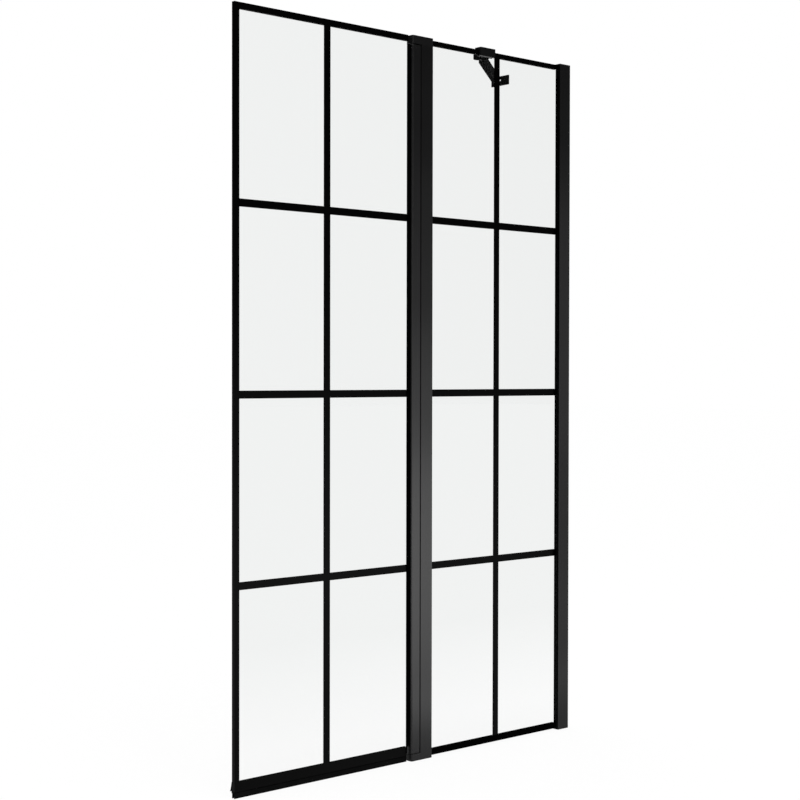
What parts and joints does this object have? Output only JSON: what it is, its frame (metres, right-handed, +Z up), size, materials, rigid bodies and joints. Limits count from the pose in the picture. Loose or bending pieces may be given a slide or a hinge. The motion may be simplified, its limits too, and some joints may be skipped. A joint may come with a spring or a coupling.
{
  "type": "pivoting shower screen",
  "caption": "Black framed glass shower screen with glazing bars: a fixed panel in a wall channel, a pivoting leaf on a hinge post and a stabiliser arm to the wall.",
  "frame": {"origin": "on the wall face, at the rim that the screen stands on, in the middle plane of the glass", "axes": "+X into the wall, so the screen runs towards -X; +Y towards the wet side with the stabiliser arm; -Y is the side with the glazing bars; +Z up"},
  "size_m": [0.9244, 0.2502, 1.506],
  "materials": {
    "black_coat": "matt black powder coat",
    "black_plastic": "moulded, fine texture",
    "acetal": "turned",
    "black_rubber": "extruded, matt",
    "clear_glass": "clear",
    "steel": "plain"
  },
  "bodies": {
    "wall_side": {"wall_channel": "black_coat", "channel_top_cap": "black_plastic", "channel_bottom_cap": "black_plastic", "lock_screws": "steel", "lock_covers": "black_plastic"},
    "fixed_panel": {"expander": "black_coat", "expander_gasket": "black_rubber", "fixed_glass": "clear_glass", "fixed_top_rail": "black_coat", "fixed_bottom_rail": "black_coat", "fixed_upright_bar": "black_coat", "fixed_lower_bar": "black_coat", "fixed_middle_bar": "black_coat", "fixed_upper_bar": "black_coat", "hinge_post": "black_coat", "post_gasket": "black_rubber", "top_pivot_cap": "black_coat", "bottom_pivot_cap": "black_coat", "cap_screws": "steel", "pivot_pins": "steel", "clamp_saddle": "black_coat", "clamp_liner": "acetal", "clamp_grub_screws": "steel", "clamp_swivel_pin": "steel"},
    "leaf": {"pivot_stile": "black_coat", "stile_gasket": "black_rubber", "pivot_bushes": "acetal", "leaf_glass": "clear_glass", "edge_channel": "black_coat", "leaf_top_rail": "black_coat", "leaf_bottom_rail": "black_coat", "leaf_upright_bar": "black_coat", "leaf_lower_bar": "black_coat", "leaf_middle_bar": "black_coat", "leaf_upper_bar": "black_coat", "drip_seal": "black_rubber"},
    "arm": {"stabiliser_arm": "black_coat"},
    "bracket": {"wall_bracket": "black_coat", "bracket_swivel_pin": "steel"}
  },
  "joints": [
    {"name": "panel_slide", "type": "slide", "parent": "wall_side", "child": "fixed_panel", "axis": [-1, 0, 0], "range_m": [0, 0.01]},
    {"name": "leaf_pivot", "type": "hinge", "parent": "fixed_panel", "child": "leaf", "pos_m": [-0.47025, 0, 0.75], "axis": [0, 0, 1], "range_deg": [-90, 90]},
    {"name": "arm_swivel", "type": "hinge", "parent": "fixed_panel", "child": "arm", "pos_m": [-0.2581, 0.0186, 1.494], "axis": [0, 0, 1], "range_deg": [0, 53]},
    {"name": "bracket_swivel", "type": "hinge", "parent": "arm", "child": "bracket", "pos_m": [-0.011, 0.2097, 1.494], "axis": [0, 0, 1], "range_deg": [-45, 45]}
  ]
}
